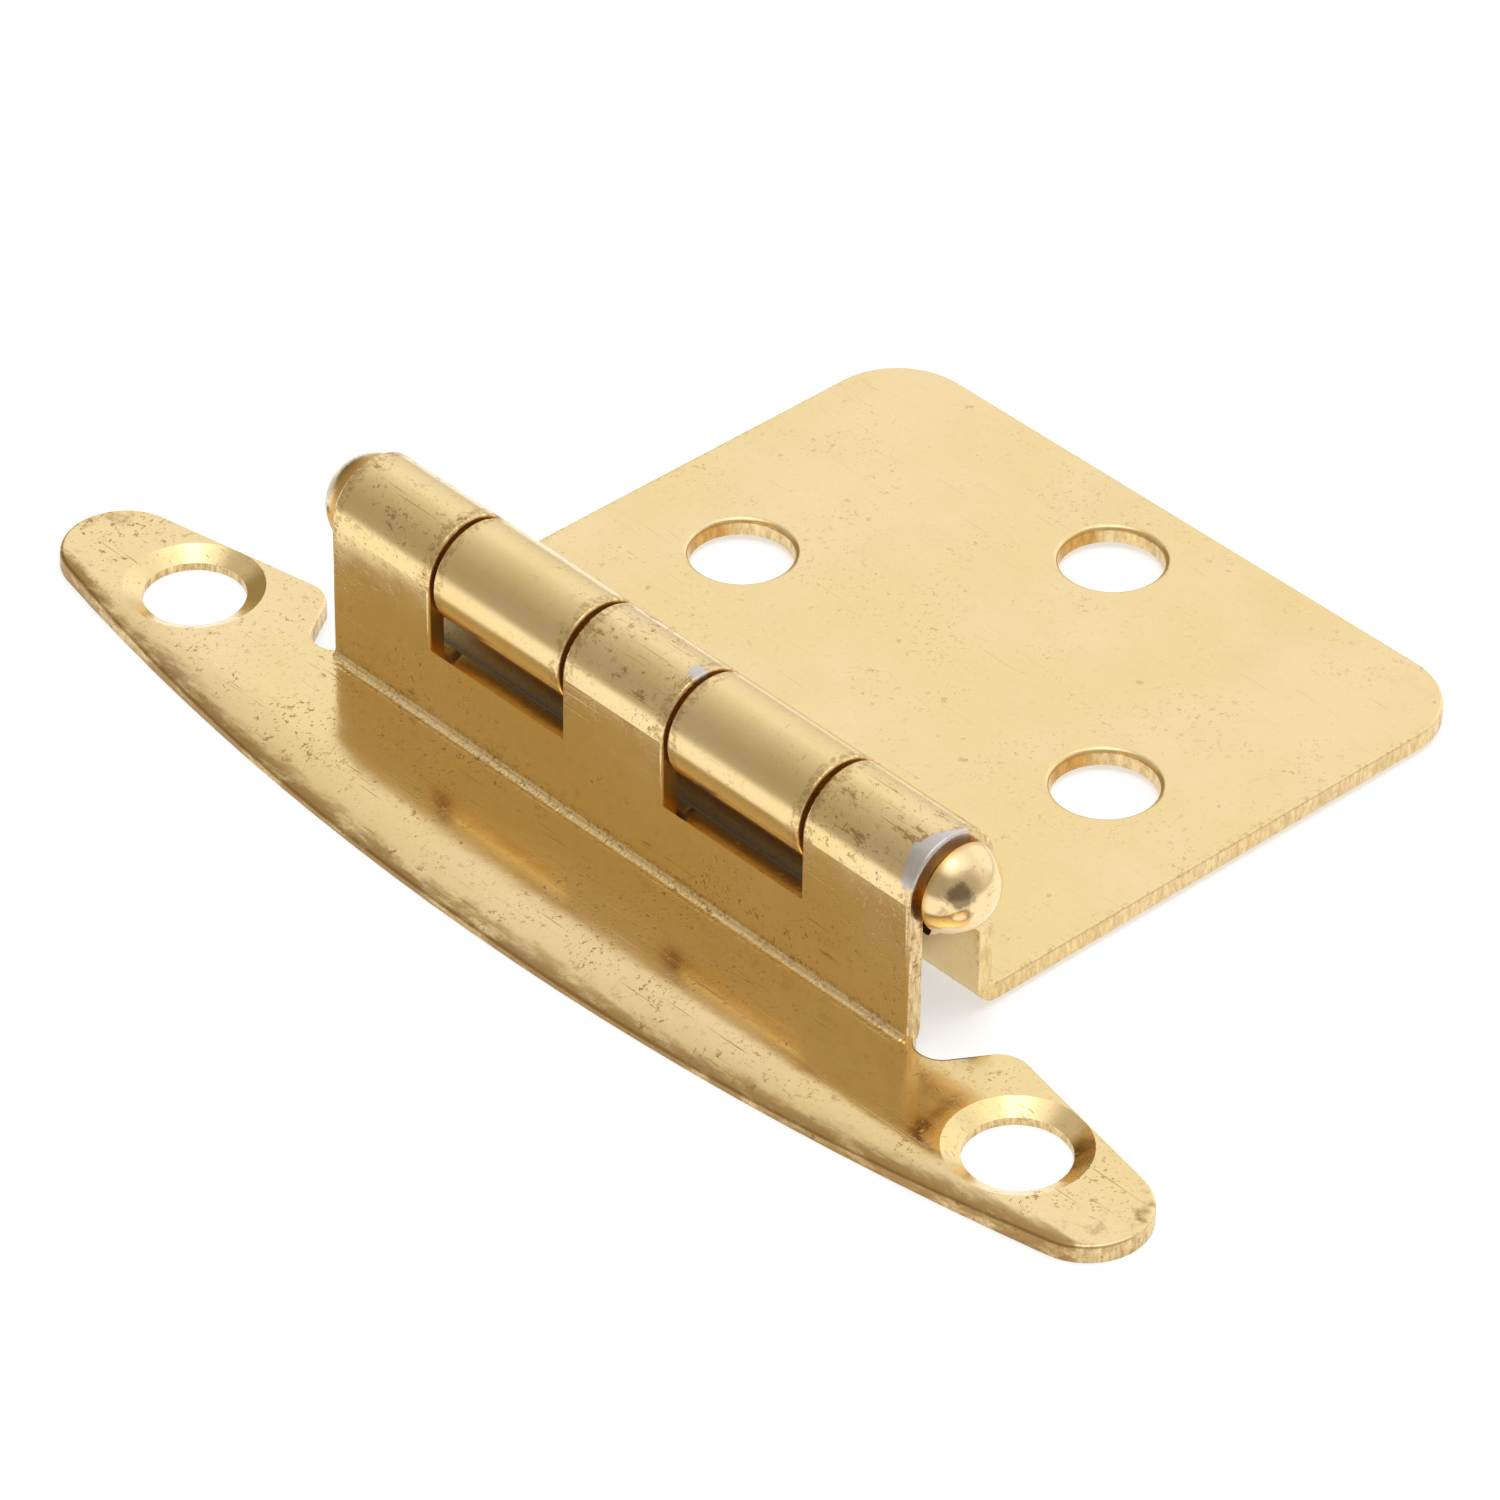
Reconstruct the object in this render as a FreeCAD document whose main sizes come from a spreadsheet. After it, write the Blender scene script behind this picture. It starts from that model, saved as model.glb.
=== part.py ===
"""Surface-mounted cabinet door hinge: a decorative frame leaf, a plain door leaf and a headed pin.

Frame of the model, in millimetres: the origin is midway between the two frame screw holes, on the back of the
frame leaf, where it lies against the cabinet's face. +X runs along the pin, +Y from the frame leaf to the door
leaf, and +Z out of the cabinet's face. The hinge is closed: both leaves are parallel to the face.
"""

import FreeCAD, Part
import math
import os

import Sketcher

# Driving dimensions, in millimetres and degrees. Every one can be changed by itself.
SIZES = {
    # sheet metal, common to both leaves
    "sheet_thick": 0.9,
    "bend_inside": 0.35,
    "edge_round": 0.2,
    "rim_round": 0.3,
    "knuckle_round": 0.15,
    "seam_lap": 0.5,
    # pin and knuckles
    "pin_radius": 1.65,
    "pin_play": 0.05,
    "pin_height": 8.2,
    "barrel_length": 38.0,
    "centre_knuckle": 6.6,
    "end_knuckle": 6.7,
    "knuckle_gap": 0.28,
    "curl_degrees": 300.0,
    # pin heads
    "round_head_radius": 2.35,
    "round_head_height": 2.15,
    "rivet_head_radius": 2.2,
    "rivet_head_height": 1.8,
    "rivet_head_gap": 0.4,
    "head_play": 0.05,
    # frame leaf
    "frame_length": 70.0,
    "frame_reach": 6.9,
    "crown_width": 4.2,
    "crown_radius": 17.0,
    "crown_tip_radius": 2.0,
    "crown_angle": 25.0,
    "ear_radius": 3.0,
    "ear_drop": 0.45,
    "frame_hole_span": 54.8,
    "frame_hole_radius": 2.45,
    "sink_radius": 3.35,
    "sink_depth": 0.5,
    "flange_setback": 1.35,
    "window_drop": 0.8,
    "shoulder_radius": 1.6,
    "shoulder_step": 3.4,
    "shoulder_rise": 2.65,
    "notch_radius": 1.2,
    "notch_offset": 1.1,
    "notch_rise": 2.5,
    # door leaf
    "door_lift": 0.3,
    "door_width": 38.2,
    "door_reach": 33.6,
    "door_corner": 3.9,
    "door_notch_drop": 0.95,
    "door_hole_radius": 2.5,
    "door_hole_span": 24.1,
    "near_hole_reach": 16.5,
    "far_hole_step": 12.4,
}

# Lengths worked out in the sheet from the driving dimensions.
FORMULAS = {
    "bore_radius": "pin_radius + pin_play",
    "knuckle_radius": "bore_radius + sheet_thick",
    "bend_outside": "bend_inside + sheet_thick",
    "pin_line": "flange_setback + knuckle_radius",
    "bend_line": "flange_setback - bend_inside",
    "ear_centre": "frame_length / 2 - ear_radius",
    "bow_inset": "frame_reach - ear_radius",
    "bow_square": "ear_centre * ear_centre + ear_drop * ear_drop - bow_inset * bow_inset",
    "bow_centre": "bow_square / (2 * (bow_inset - ear_drop))",
    "crown_line": "frame_reach - crown_width",
    "notch_centre": "barrel_length / 2 + notch_offset",
    "shoulder_centre": "notch_centre + shoulder_step",
    "window_sill": "pin_height - knuckle_radius - window_drop",
    "door_sill": "pin_height - knuckle_radius - door_notch_drop",
    "window_width": "(barrel_length - centre_knuckle) / 2 - end_knuckle",
    "door_near_row": "pin_line + near_hole_reach",
    "door_far_row": "door_near_row + far_hole_step",
    "door_edge": "pin_line + door_reach",
    "door_top": "door_lift + sheet_thick",
    "door_flat": "door_reach - knuckle_radius - bend_inside",
    "cut_top": "pin_height + 2 * knuckle_radius",
    "cut_length": "4 * ( pin_height + door_reach )",
}

NODES = []


def make_sheet(doc):
    """Put the driving dimensions and the lengths worked out from them in one spreadsheet."""
    sheet = doc.addObject("Spreadsheet::Sheet", "Sizes")
    row = 1
    for name, value in SIZES.items():
        sheet.set(f"A{row}", name)
        sheet.set(f"B{row}", str(value))
        sheet.setAlias(f"B{row}", name)
        row += 1
    for name, formula in FORMULAS.items():
        sheet.set(f"A{row}", name)
        sheet.set(f"B{row}", "=" + formula)
        sheet.setAlias(f"B{row}", name)
        row += 1
    doc.recompute()
    return sheet


def make_body(doc, label):
    """Start a sub-part: a body whose label names its node."""
    body = doc.addObject("PartDesign::Body", "Body_" + label)
    body.Label = label
    NODES.append(body)
    return body


def add_feature(body, kind, name):
    """Add one PartDesign feature to the end of a body."""
    feature = body.newObject("PartDesign::" + kind, name)
    body.Tip = feature
    return feature


def make_sketch(body, name, plane):
    """Attach a sketch to one of the body's own origin planes."""
    sketch = body.newObject("Sketcher::SketchObject", name)
    for item in body.Origin.OriginFeatures:
        if item.Role == plane:
            sketch.AttachmentSupport = [(item, "")]
    sketch.MapMode = "FlatFace"
    return sketch


def sheet_value(feature, formula):
    """Work out a formula over the sheet's names."""
    return float(feature.evalExpression(cell(formula)))


def cell(formula):
    """Write a formula over the sheet's names as an expression: each name gets the sheet's own prefix."""
    known = sorted(list(SIZES) + list(FORMULAS), key=len, reverse=True)
    words = formula.replace("(", "( ").replace(")", " )").split()
    return " ".join("Sizes." + word if word in known else word for word in words)


def hold(sketch, kind, *target, to):
    """Add one dimension to a sketch and tie it to the sheet."""
    value = sheet_value(sketch, to)
    if kind == "Angle":
        value = math.radians(value)
    index = sketch.addConstraint(Sketcher.Constraint(kind, *target, value))
    sketch.setExpression(f"Constraints[{index}]", cell(to))


def fix(sketch, kind, *target):
    """Add one constraint without a dimension."""
    sketch.addConstraint(Sketcher.Constraint(kind, *target))


START, END, CENTRE = 1, 2, 3
ACROSS, UPWARD = -1, -2
ORIGIN = (ACROSS, START)


def add_line(sketch, start, end):
    """Add a straight edge and return it as (edge, its first end, its second end)."""
    line = Part.LineSegment(FreeCAD.Vector(*start, 0), FreeCAD.Vector(*end, 0))
    return sketch.addGeometry(line, False), START, END


def add_arc(sketch, centre, start, end, turn):
    """Add an arc from start to end about a centre, turn +1 counter-clockwise or -1 clockwise."""
    radius = math.dist(centre, start)
    first = math.atan2(start[1] - centre[1], start[0] - centre[0])
    last = math.atan2(end[1] - centre[1], end[0] - centre[0])
    if turn < 0:
        first, last = last, first
    if last <= first:
        last += 2 * math.pi
    circle = Part.Circle(FreeCAD.Vector(*centre, 0), FreeCAD.Vector(0, 0, 1), radius)
    edge = sketch.addGeometry(Part.ArcOfCircle(circle, first, last), False)
    return (edge, START, END) if turn > 0 else (edge, END, START)


def join_edges(sketch, edges, kinds):
    """Close a chain of edges: kinds says how each edge meets the next, Tangent or Coincident."""
    for here, there, kind in zip(edges, edges[1:] + edges[:1], kinds):
        fix(sketch, kind, here[0], here[2], there[0], there[1])


def along(point, angle, length):
    """The point at a distance from another, in a direction."""
    return point[0] + length * math.cos(angle), point[1] + length * math.sin(angle)


def tangent_line(first, first_radius, second, second_radius):
    """Ends of the line tangent to two circles. A radius is positive for a circle on the line's left."""
    spread = math.dist(first, second)
    slope = math.atan2(second[1] - first[1], second[0] - first[0])
    slope -= math.asin((second_radius - first_radius) / spread)
    side = slope - math.pi / 2
    return along(first, side, first_radius), along(second, side, second_radius)


def plate_outline(body):
    """Right half of the frame leaf's flat: bow-shaped front, round ear, shoulder and relief notch."""
    sketch = make_sketch(body, "plate_outline", "XY_Plane")
    bend_line = sheet_value(sketch, "bend_line")
    half_barrel = sheet_value(sketch, "barrel_length / 2")
    notch = sheet_value(sketch, "notch_centre"), sheet_value(sketch, "notch_rise")
    notch_radius = sheet_value(sketch, "notch_radius")
    shoulder = sheet_value(sketch, "shoulder_centre"), sheet_value(sketch, "shoulder_rise")
    shoulder_radius = sheet_value(sketch, "shoulder_radius")
    ear = sheet_value(sketch, "ear_centre"), -sheet_value(sketch, "ear_drop")
    ear_radius = sheet_value(sketch, "ear_radius")
    reach = sheet_value(sketch, "frame_reach")

    # The front arc's centre is on the middle line, and the arc is tangent to the ear from outside it.
    bow_centre = (0, sheet_value(sketch, "bow_centre"))
    outward = math.atan2(ear[1] - bow_centre[1], ear[0] - bow_centre[0])
    ear_front = along(ear, outward, ear_radius)
    notch_end, shoulder_start = tangent_line(notch, notch_radius, shoulder, -shoulder_radius)
    shoulder_end, ear_back = tangent_line(shoulder, -shoulder_radius, ear, -ear_radius)
    notch_drop = math.sqrt(notch_radius**2 - (notch[0] - half_barrel) ** 2)
    notch_start = (half_barrel, notch[1] - notch_drop)

    back = add_line(sketch, (0, bend_line), (half_barrel, bend_line))
    step = add_line(sketch, (half_barrel, bend_line), notch_start)
    notch_arc = add_arc(sketch, notch, notch_start, notch_end, 1)
    slant = add_line(sketch, notch_end, shoulder_start)
    shoulder_arc = add_arc(sketch, shoulder, shoulder_start, shoulder_end, -1)
    ear_line = add_line(sketch, shoulder_end, ear_back)
    ear_arc = add_arc(sketch, ear, ear_back, ear_front, -1)
    front_arc = add_arc(sketch, bow_centre, ear_front, (0, -reach), -1)
    middle = add_line(sketch, (0, -reach), (0, bend_line))
    edges = [back, step, notch_arc, slant, shoulder_arc, ear_line, ear_arc, front_arc, middle]
    kinds = ["Coincident", "Coincident"] + ["Tangent"] * 5 + ["Coincident"] * 2
    join_edges(sketch, edges, kinds)

    fix(sketch, "Horizontal", back[0])
    fix(sketch, "Vertical", step[0])
    fix(sketch, "PointOnObject", back[0], START, UPWARD)
    fix(sketch, "PointOnObject", middle[0], START, UPWARD)
    fix(sketch, "PointOnObject", front_arc[0], CENTRE, UPWARD)
    hold(sketch, "DistanceY", *ORIGIN, back[0], START, to="bend_line")
    hold(sketch, "DistanceX", *ORIGIN, back[0], END, to="barrel_length / 2")
    hold(sketch, "DistanceX", *ORIGIN, notch_arc[0], CENTRE, to="notch_centre")
    hold(sketch, "DistanceY", *ORIGIN, notch_arc[0], CENTRE, to="notch_rise")
    hold(sketch, "Radius", notch_arc[0], to="notch_radius")
    hold(sketch, "DistanceX", *ORIGIN, shoulder_arc[0], CENTRE, to="shoulder_centre")
    hold(sketch, "DistanceY", *ORIGIN, shoulder_arc[0], CENTRE, to="shoulder_rise")
    hold(sketch, "Radius", shoulder_arc[0], to="shoulder_radius")
    hold(sketch, "DistanceX", *ORIGIN, ear_arc[0], CENTRE, to="ear_centre")
    hold(sketch, "DistanceY", ear_arc[0], CENTRE, *ORIGIN, to="ear_drop")
    hold(sketch, "Radius", ear_arc[0], to="ear_radius")
    hold(sketch, "DistanceY", middle[0], START, *ORIGIN, to="frame_reach")
    return sketch


def crown_section(body, name, radius, place):
    """One cross-section of what the crown takes off: an arc that leaves the flat's top and falls forward."""
    sketch = make_sketch(body, name, "YZ_Plane")
    if place:
        sketch.setExpression("AttachmentOffset.Base.z", cell(place))
    start = -sheet_value(sketch, "crown_line")
    top = sheet_value(sketch, "sheet_thick")
    size = sheet_value(sketch, radius)
    angle = math.radians(90 + sheet_value(sketch, "crown_angle"))
    centre = (start, top - size)
    arc_end = along(centre, angle, size)
    above = 2 * top

    arc = add_arc(sketch, centre, (start, top), arc_end, 1)
    outside = add_line(sketch, arc_end, (arc_end[0], above))
    lid = add_line(sketch, (arc_end[0], above), (start, above))
    inside = add_line(sketch, (start, above), (start, top))
    join_edges(sketch, [arc, outside, lid, inside], ["Coincident"] * 4)
    fix(sketch, "Vertical", outside[0])
    fix(sketch, "Horizontal", lid[0])
    fix(sketch, "Vertical", inside[0])
    fix(sketch, "PointOnObject", arc[0], CENTRE, inside[0])
    hold(sketch, "Radius", arc[0], to=radius)
    hold(sketch, "Angle", arc[0], to="crown_angle")
    hold_from_origin(sketch, "DistanceX", inside[0], START, "0 - crown_line")
    hold(sketch, "DistanceY", *ORIGIN, inside[0], END, to="sheet_thick")
    hold(sketch, "DistanceY", *ORIGIN, inside[0], START, to="2 * sheet_thick")
    return sketch


def crown_front(body):
    """Curve the top of the half flat down towards its front, gently in the middle and tightly at the ear."""
    before = body.Shape.Volume
    middle = crown_section(body, "crown_middle", "crown_radius", None)
    tip = crown_section(body, "crown_tip", "crown_tip_radius", "frame_length / 2")
    body.Document.recompute()
    crown = add_feature(body, "SubtractiveLoft", "crowned_front")
    crown.Profile = middle
    crown.Sections = [tip]
    crown.Ruled = True
    body.Document.recompute()
    if not crown.Shape.Volume < before:
        raise RuntimeError("the crown removes nothing")


def rolled_profile(body, side, plate_length, lift):
    """Cross-section of a leaf: flat, bend, upright flange and the knuckle rolled over the pin.

    side is -1 where the flange stands before the pin line and +1 where it stands behind it. The flat runs
    plate_length away from the bend, and its underside is lift above the cabinet's face, or on it for None.
    """
    sketch = make_sketch(body, "rolled_profile", "YZ_Plane")
    bore = sheet_value(sketch, "bore_radius")
    knuckle = sheet_value(sketch, "knuckle_radius")
    inside = sheet_value(sketch, "bend_inside")
    outside = sheet_value(sketch, "bend_outside")
    pin = sheet_value(sketch, "pin_line"), sheet_value(sketch, "pin_height")
    floor = sheet_value(sketch, lift) if lift else 0.0
    bend = pin[0] + side * (knuckle + inside), floor + outside
    flat_end = bend[0] + side * sheet_value(sketch, plate_length)
    curl = side * math.radians(sheet_value(sketch, "curl_degrees"))
    curl_start = 0.0 if side > 0 else math.pi

    inner = pin[0] + side * bore
    outer = pin[0] + side * knuckle
    curl_inner = along(pin, curl_start + curl, bore)
    curl_outer = along(pin, curl_start + curl, knuckle)
    under = add_line(sketch, (flat_end, floor), (bend[0], floor))
    bend_under = add_arc(sketch, bend, (bend[0], floor), (inner, bend[1]), -side)
    inner_face = add_line(sketch, (inner, bend[1]), (inner, pin[1]))
    inner_curl = add_arc(sketch, pin, (inner, pin[1]), curl_inner, side)
    lip = add_line(sketch, curl_inner, curl_outer)
    outer_curl = add_arc(sketch, pin, curl_outer, (outer, pin[1]), -side)
    outer_face = add_line(sketch, (outer, pin[1]), (outer, bend[1]))
    bend_over = add_arc(sketch, bend, (outer, bend[1]), (bend[0], floor + outside - inside), side)
    over = add_line(sketch, (bend[0], floor + outside - inside), (flat_end, floor + outside - inside))
    end = add_line(sketch, (flat_end, floor + outside - inside), (flat_end, floor))
    edges = [under, bend_under, inner_face, inner_curl, lip, outer_curl, outer_face, bend_over, over, end]
    kinds = ["Tangent"] * 3 + ["Coincident"] * 2 + ["Tangent"] * 3 + ["Coincident"] * 2
    join_edges(sketch, edges, kinds)

    fix(sketch, "Horizontal", under[0])
    fix(sketch, "Horizontal", over[0])
    fix(sketch, "Vertical", end[0])
    fix(sketch, "Vertical", inner_face[0])
    fix(sketch, "Vertical", outer_face[0])
    fix(sketch, "Coincident", inner_curl[0], CENTRE, outer_curl[0], CENTRE)
    fix(sketch, "Coincident", bend_under[0], CENTRE, bend_over[0], CENTRE)
    fix(sketch, "PointOnObject", inner_curl[0], CENTRE, lip[0])
    hold(sketch, "DistanceX", *ORIGIN, inner_curl[0], CENTRE, to="pin_line")
    hold(sketch, "DistanceY", *ORIGIN, inner_curl[0], CENTRE, to="pin_height")
    hold(sketch, "Radius", inner_curl[0], to="bore_radius")
    hold(sketch, "Radius", outer_curl[0], to="knuckle_radius")
    hold(sketch, "Radius", bend_over[0], to="bend_inside")
    hold(sketch, "Angle", inner_curl[0], to="curl_degrees")
    if side > 0:
        hold(sketch, "DistanceX", under[0], END, under[0], START, to=plate_length)
    else:
        hold(sketch, "DistanceX", under[0], START, under[0], END, to=plate_length)
    if lift:
        hold(sketch, "DistanceY", *ORIGIN, under[0], START, to=lift)
    else:
        fix(sketch, "PointOnObject", under[0], START, ACROSS)
    return sketch


def add_box(sketch, left, right, bottom, top):
    """Add a rectangle whose four sides are tied to the sheet; left and bottom may be negative formulas."""
    corners = [(left, bottom), (right, bottom), (right, top), (left, top)]
    points = [(sheet_value(sketch, across), sheet_value(sketch, up)) for across, up in corners]
    edges = [add_line(sketch, here, there) for here, there in zip(points, points[1:] + points[:1])]
    join_edges(sketch, edges, ["Coincident"] * 4)
    for level in (edges[0], edges[2]):
        fix(sketch, "Horizontal", level[0])
    for upright in (edges[1], edges[3]):
        fix(sketch, "Vertical", upright[0])
    hold_from_origin(sketch, "DistanceX", edges[0][0], START, left)
    hold_from_origin(sketch, "DistanceX", edges[1][0], START, right)
    hold_from_origin(sketch, "DistanceY", edges[0][0], START, bottom)
    hold_from_origin(sketch, "DistanceY", edges[2][0], START, top)


def hold_from_origin(sketch, kind, edge, end, formula):
    """Hold a point's distance from the origin, on whichever side of it the point lies."""
    if sheet_value(sketch, formula) < 0:
        hold(sketch, kind, edge, end, *ORIGIN, to=f"0 - ( {formula} )")
    else:
        hold(sketch, kind, *ORIGIN, edge, end, to=formula)


def add_circle(sketch, centre, radius, across, up):
    """Add a hole's circle with its radius and centre tied to the sheet; up is None on the sketch's X axis."""
    circle = Part.Circle(FreeCAD.Vector(*centre, 0), FreeCAD.Vector(0, 0, 1), sheet_value(sketch, radius))
    edge = sketch.addGeometry(circle, False)
    hold(sketch, "Radius", edge, to=radius)
    if across:
        hold_from_origin(sketch, "DistanceX", edge, CENTRE, across)
    else:
        fix(sketch, "PointOnObject", edge, CENTRE, UPWARD)
    if up:
        hold_from_origin(sketch, "DistanceY", edge, CENTRE, up)
    else:
        fix(sketch, "PointOnObject", edge, CENTRE, ACROSS)


def cut_through(body, sketch, name):
    """Cut a sketch's outline through the whole body, both ways."""
    before = body.Shape.Volume
    pocket = add_feature(body, "Pocket", name)
    pocket.Profile = sketch
    pocket.SideType = "Symmetric"
    pocket.Type = "Length"
    pocket.setExpression("Length", cell("cut_length"))
    body.Document.recompute()
    if not body.Shape.Volume < before:
        raise RuntimeError(f"{name} removes nothing from {body.Label}")
    return pocket


def round_edges(body, name, radius, chosen):
    """Round the edges that the chosen test picks out, and those that run on smoothly from them."""
    base = body.Tip
    picked = [f"Edge{number}" for number, edge in enumerate(base.Shape.Edges, 1) if chosen(edge)]
    fillet = add_feature(body, "Fillet", name)
    fillet.Base = (base, picked)
    fillet.setExpression("Radius", cell(radius))
    body.Document.recompute()
    if not fillet.Shape.Volume < base.Shape.Volume:
        raise RuntimeError(f"{name} rounds nothing on {body.Label}")


def same(first, second):
    """True for two lengths that agree."""
    return abs(first - second) < 1e-4


def is_circle(edge, radius):
    """True for an edge that is a circle, or part of one, of the given radius."""
    return edge.Curve.TypeId == "Part::GeomCircle" and same(edge.Curve.Radius, radius)


def round_knuckle_ends(body):
    """Ease the outer rims of the rolled knuckles, first on the right half and then on the left."""
    radius = sheet_value(body, "knuckle_radius")
    for side, name in ((1, "right_knuckle_ends"), (-1, "left_knuckle_ends")):

        def rim(edge):
            upright = same(edge.BoundBox.XLength, 0)
            return is_circle(edge, radius) and upright and side * edge.BoundBox.XMin > 0

        round_edges(body, name, "knuckle_round", rim)


def make_frame_leaf(doc):
    """Frame leaf: bow-shaped flat, two countersunk ears, upright flange, two windows and three knuckles."""
    body = make_body(doc, "frame_leaf")
    outline = plate_outline(body)
    half = add_feature(body, "Pad", "half_flat")
    half.Profile = outline
    half.setExpression("Length", cell("sheet_thick"))
    doc.recompute()
    crown_front(body)
    side_wall = sheet_value(body, "barrel_length / 2")
    round_edges(
        body,
        "eased_edge",
        "edge_round",
        lambda edge: edge.BoundBox.ZMin > 0.01
        and edge.BoundBox.XMax > side_wall + 0.01
        and edge.BoundBox.ZLength < 0.4
        and not (same(edge.BoundBox.XLength, 0) and same(edge.BoundBox.YLength, 0)),
    )
    whole = add_feature(body, "Mirrored", "whole_flat")
    whole.TransformMode = "Whole shape"
    whole.MirrorPlane = (outline, ["V_Axis"])
    doc.recompute()

    profile = rolled_profile(body, -1, "seam_lap", None)
    flange = add_feature(body, "Pad", "flange_and_knuckles")
    flange.Profile = profile
    flange.SideType = "Symmetric"
    flange.setExpression("Length", cell("barrel_length"))
    doc.recompute()

    windows = make_sketch(body, "window_outline", "XZ_Plane")
    near, far = "centre_knuckle / 2", "centre_knuckle / 2 + window_width"
    add_box(windows, near, far, "window_sill", "cut_top")
    add_box(windows, f"0 - ( {far} )", f"0 - {near}", "window_sill", "cut_top")
    cut_through(body, windows, "windows")

    holes = make_sketch(body, "screw_hole_outline", "XY_Plane")
    reach = sheet_value(holes, "frame_hole_span / 2")
    add_circle(holes, (reach, 0), "frame_hole_radius", "frame_hole_span / 2", None)
    add_circle(holes, (-reach, 0), "frame_hole_radius", "0 - frame_hole_span / 2", None)
    cut_through(body, holes, "screw_holes")
    for side, name in ((-1, "left_countersink"), (1, "right_countersink")):
        sink = add_feature(body, "SubtractiveCone", name)
        sink.setExpression("Radius1", cell("frame_hole_radius"))
        sink.setExpression("Radius2", cell("sink_radius"))
        sink.setExpression("Height", cell("sink_depth"))
        sink.setExpression("Placement.Base.x", cell(f"{side} * frame_hole_span / 2"))
        sink.setExpression("Placement.Base.z", cell("sheet_thick - sink_depth"))
    doc.recompute()
    round_knuckle_ends(body)
    return body


def make_door_leaf(doc):
    """Plain leaf behind the door: flat with three screw holes, step flange and two knuckles."""
    body = make_body(doc, "door_leaf")
    profile = rolled_profile(body, 1, "door_flat", "door_lift")
    strip = add_feature(body, "Pad", "rolled_strip")
    strip.Profile = profile
    strip.SideType = "Symmetric"
    strip.setExpression("Length", cell("door_width"))
    doc.recompute()

    corners = add_feature(body, "Fillet", "corners")
    edge_row = sheet_value(strip, "door_edge")
    upright = [
        f"Edge{number}"
        for number, edge in enumerate(strip.Shape.Edges, 1)
        if abs(edge.BoundBox.YMin - edge_row) < 1e-4 and edge.BoundBox.XLength < 1e-4
    ]
    corners.Base = (strip, upright)
    corners.setExpression("Radius", cell("door_corner"))
    doc.recompute()

    gaps = make_sketch(body, "knuckle_gap_outline", "XZ_Plane")
    centre_side = "centre_knuckle / 2 + knuckle_gap"
    end_side = "centre_knuckle / 2 + window_width - knuckle_gap"
    beyond = "door_width / 2 + sheet_thick"
    add_box(gaps, f"0 - ( {centre_side} )", centre_side, "door_sill", "cut_top")
    add_box(gaps, end_side, beyond, "door_sill", "cut_top")
    add_box(gaps, f"0 - ( {beyond} )", f"0 - ( {end_side} )", "door_sill", "cut_top")
    cut_through(body, gaps, "knuckle_gaps")

    holes = make_sketch(body, "screw_hole_outline", "XY_Plane")
    span = sheet_value(holes, "door_hole_span / 2")
    near_row = sheet_value(holes, "door_near_row")
    far_row = sheet_value(holes, "door_far_row")
    add_circle(holes, (span, near_row), "door_hole_radius", "door_hole_span / 2", "door_near_row")
    add_circle(holes, (-span, near_row), "door_hole_radius", "0 - door_hole_span / 2", "door_near_row")
    add_circle(holes, (0, far_row), "door_hole_radius", None, "door_far_row")
    cut_through(body, holes, "screw_holes")

    top = sheet_value(body, "door_top")
    hole_radius = sheet_value(body, "door_hole_radius")

    def hole_rim(edge):
        return is_circle(edge, hole_radius) and same(edge.BoundBox.ZMin, top)

    def far_edge(edge):
        return same(edge.BoundBox.ZMin, top) and same(edge.BoundBox.YMin, edge_row)

    round_edges(body, "hole_rims", "rim_round", hole_rim)
    round_edges(body, "eased_edge", "edge_round", far_edge)
    round_knuckle_ends(body)
    return body


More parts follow.
